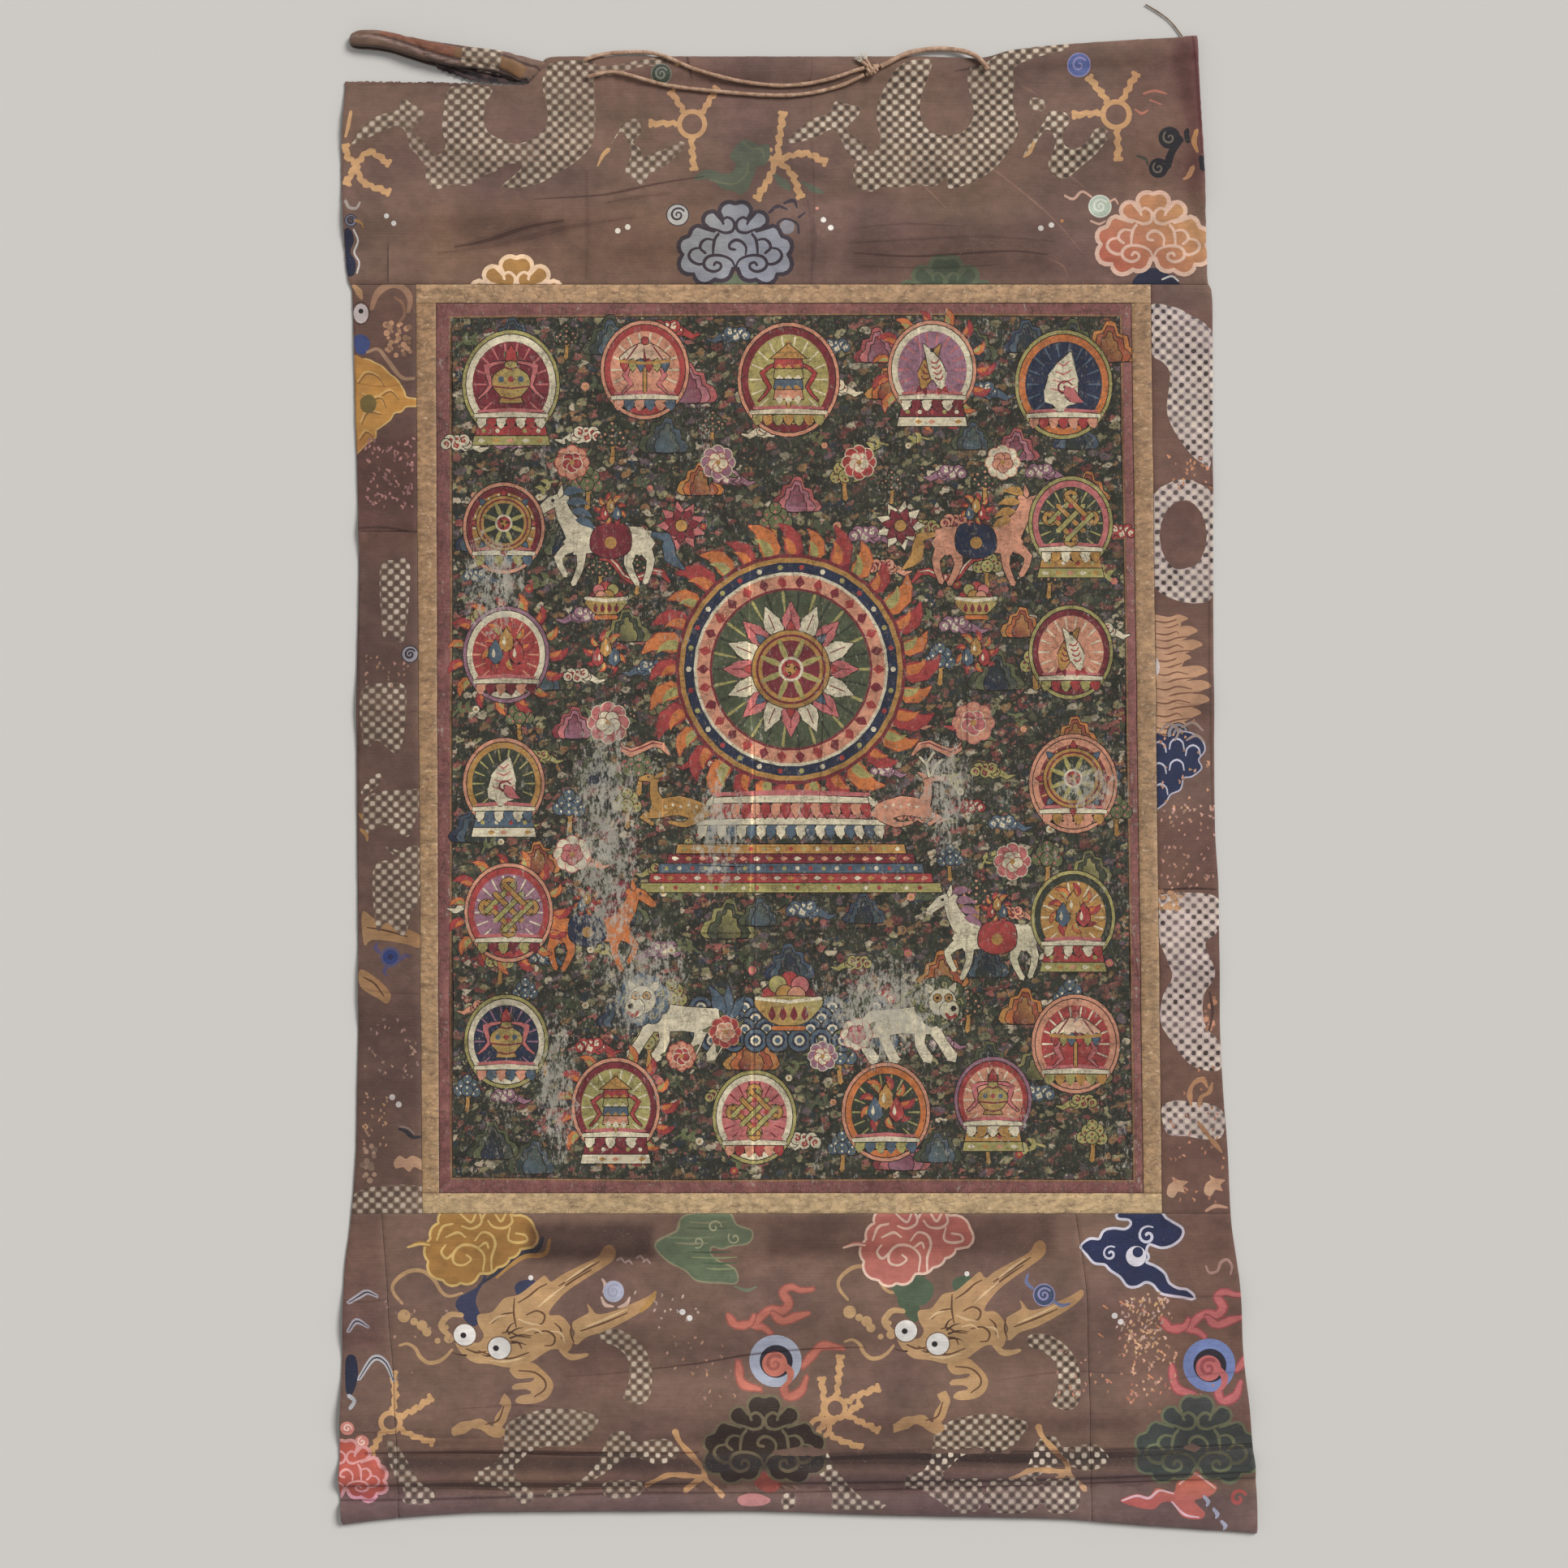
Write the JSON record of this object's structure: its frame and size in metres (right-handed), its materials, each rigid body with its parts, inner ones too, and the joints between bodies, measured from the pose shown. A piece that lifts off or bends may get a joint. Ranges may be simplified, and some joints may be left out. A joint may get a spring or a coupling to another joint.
{
  "type": "thangka scroll painting",
  "caption": "Old painted canvas scroll lying face up, framed in gold strips and brown dragon brocade, its heading torn and curled at the corner, with a leather tie over the top edge.",
  "frame": {"origin": "on the surface that the scroll lies on, under the middle of its outline", "axes": "+X to the right of the painting, +Y towards its top edge, +Z out of the painted face, away from the surface"},
  "size_m": [0.754, 1.2574, 0.014],
  "materials": {
    "brown_brocade": "worn brown silk brocade with woven dragons and clouds",
    "gold_brocade": "rubbed gold silk strip",
    "painted_canvas": "sized cotton canvas with cracked and rubbed paint",
    "leather_thong": "dry tan leather",
    "thread": "dull brown thread"
  },
  "bodies": {
    "root": {"painted_canvas": "painted_canvas", "strip_top": "gold_brocade", "strip_bottom": "gold_brocade", "strip_left": "gold_brocade", "strip_right": "gold_brocade", "panel_top": "brown_brocade", "panel_left_upper": "brown_brocade", "panel_left_lower": "brown_brocade", "panel_right_upper": "brown_brocade", "panel_right_lower": "brown_brocade", "panel_bottom_left": "brown_brocade", "panel_bottom_main": "brown_brocade", "panel_bottom_right": "brown_brocade", "heading_roll": "brown_brocade", "cord_lower": "leather_thong", "cord_upper": "leather_thong", "cord_right": "leather_thong", "cord_knot": "leather_thong", "corner_thread": "thread"}
  },
  "joints": []
}
